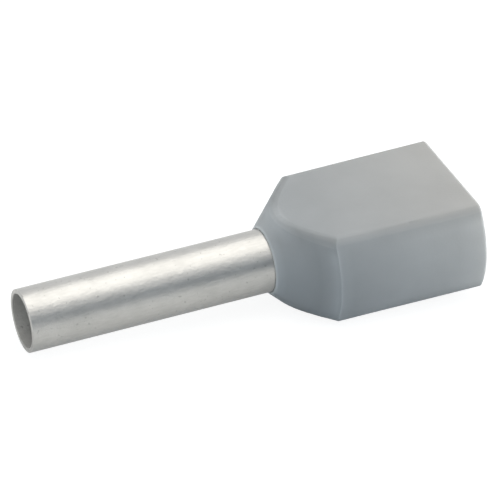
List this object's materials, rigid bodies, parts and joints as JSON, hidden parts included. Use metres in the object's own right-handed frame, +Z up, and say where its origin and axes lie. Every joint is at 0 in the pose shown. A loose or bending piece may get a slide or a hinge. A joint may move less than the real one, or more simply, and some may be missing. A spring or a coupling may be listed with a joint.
{
  "type": "wire ferrule",
  "caption": "Insulated wire ferrule for two stranded wires: a tin-plated tube in a grey plastic collar with a flat-sided funnel.",
  "frame": {"origin": "on the sleeve's axis, at the collar's nose, where the bare tube starts", "axes": "+X along the axis from the sleeve's tip towards the wire mouth, +Z up, square to the collar's two flats"},
  "size_m": [0.0151, 0.0054, 0.0032],
  "materials": {
    "tinned_copper": "satin tin plating on drawn copper",
    "collar_plastic": "matt moulded polypropylene, slightly translucent"
  },
  "bodies": {
    "root": {"sleeve": "tinned_copper", "collar": "collar_plastic"}
  },
  "joints": []
}
